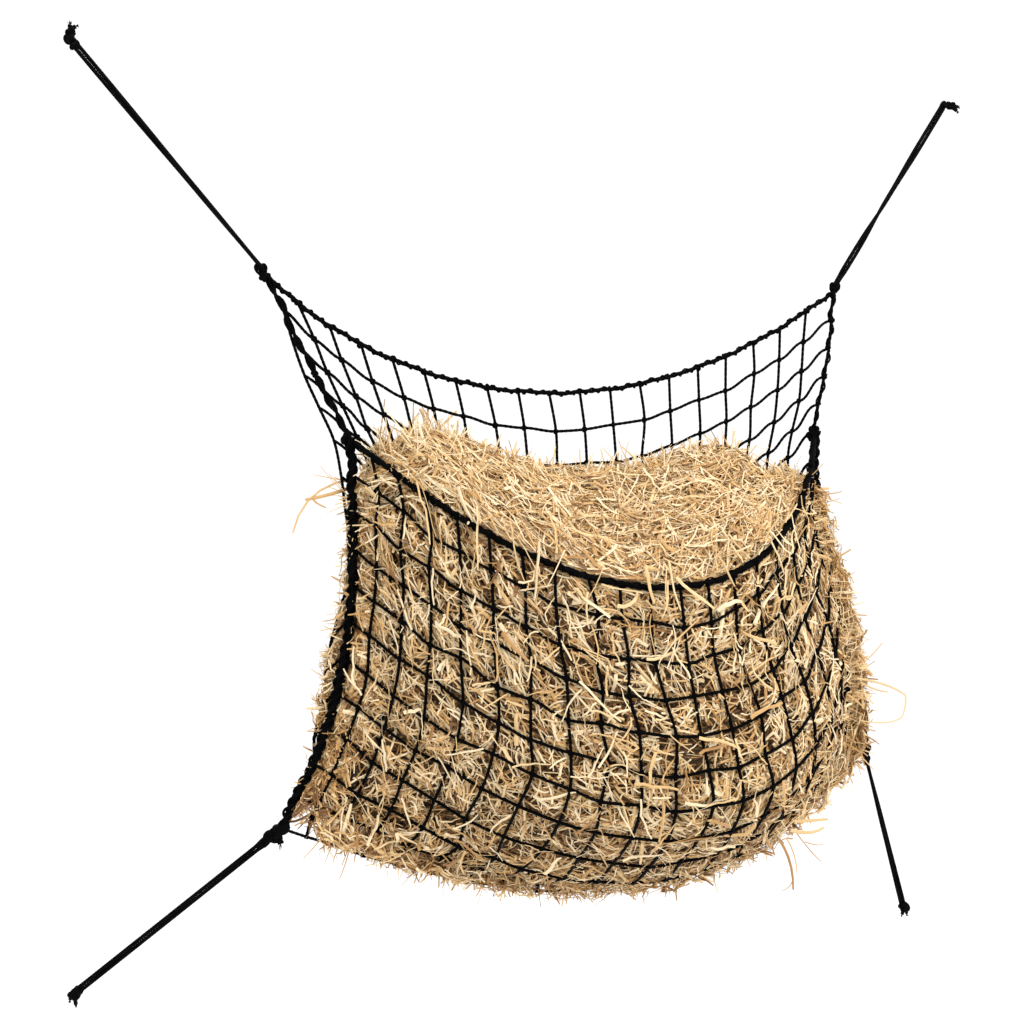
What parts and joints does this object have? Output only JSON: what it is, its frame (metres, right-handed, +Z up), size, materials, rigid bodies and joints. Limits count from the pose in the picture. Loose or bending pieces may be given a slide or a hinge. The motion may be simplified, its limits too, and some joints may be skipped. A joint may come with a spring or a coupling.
{
  "type": "hay net",
  "caption": "Filled hay net: a square-mesh netting pouch with roped edges, a high back panel and a lower front, held at its corners by doubled tie cords.",
  "frame": {"origin": "the end of the upper left tie, where it is fastened to a ring or hook", "axes": "+X from the left ties to the right ties, +Y from the front panel to the back panel, +Z up"},
  "size_m": [1.147, 0.353, 1.1282],
  "materials": {
    "black_twine": "twisted synthetic twine, slight sheen",
    "black_rope": "laid synthetic rope, slight sheen",
    "black_cord": "laid synthetic cord, slight sheen",
    "dry_hay": "dry straw-like stems, matt with a faint gloss"
  },
  "bodies": {
    "upper_ties": {"upper_left_tie": "black_cord", "upper_right_tie": "black_cord", "upper_left_end_knot": "black_cord", "upper_right_end_knot": "black_cord"},
    "net": {"back_netting": "black_twine", "front_netting": "black_twine", "back_rim_rope": "black_rope", "front_rim_rope": "black_rope", "left_side_rope": "black_rope", "right_side_rope": "black_rope", "back_rim_lashings": "black_rope", "front_rim_lashings": "black_rope", "left_side_lashings": "black_rope", "right_side_lashings": "black_rope", "left_mouth_knot": "black_rope", "right_mouth_knot": "black_rope", "upper_left_eye": "black_rope", "upper_right_eye": "black_rope", "lower_left_corner_knot": "black_rope", "lower_right_corner_knot": "black_rope", "hay_load": "dry_hay"},
    "lower_left_pull": {"lower_left_tie": "black_cord", "lower_left_end_knot": "black_cord"},
    "lower_right_pull": {"lower_right_tie": "black_cord", "lower_right_end_knot": "black_cord"}
  },
  "joints": [
    {"name": "net_swing", "type": "hinge", "parent": "upper_ties", "child": "net", "pos_m": [0.57, 0, -0.239], "axis": [1, 0, 0], "range_deg": [-20, 20]},
    {"name": "lower_left_swing", "type": "hinge", "parent": "net", "child": "lower_left_pull", "pos_m": [0.19754, 0, -0.92673], "axis": [0, 1, 0], "range_deg": [-55, 40]},
    {"name": "lower_right_swing", "type": "hinge", "parent": "net", "child": "lower_right_pull", "pos_m": [0.99437, 0, -0.8721], "axis": [0, 1, 0], "range_deg": [-45, 17]}
  ]
}
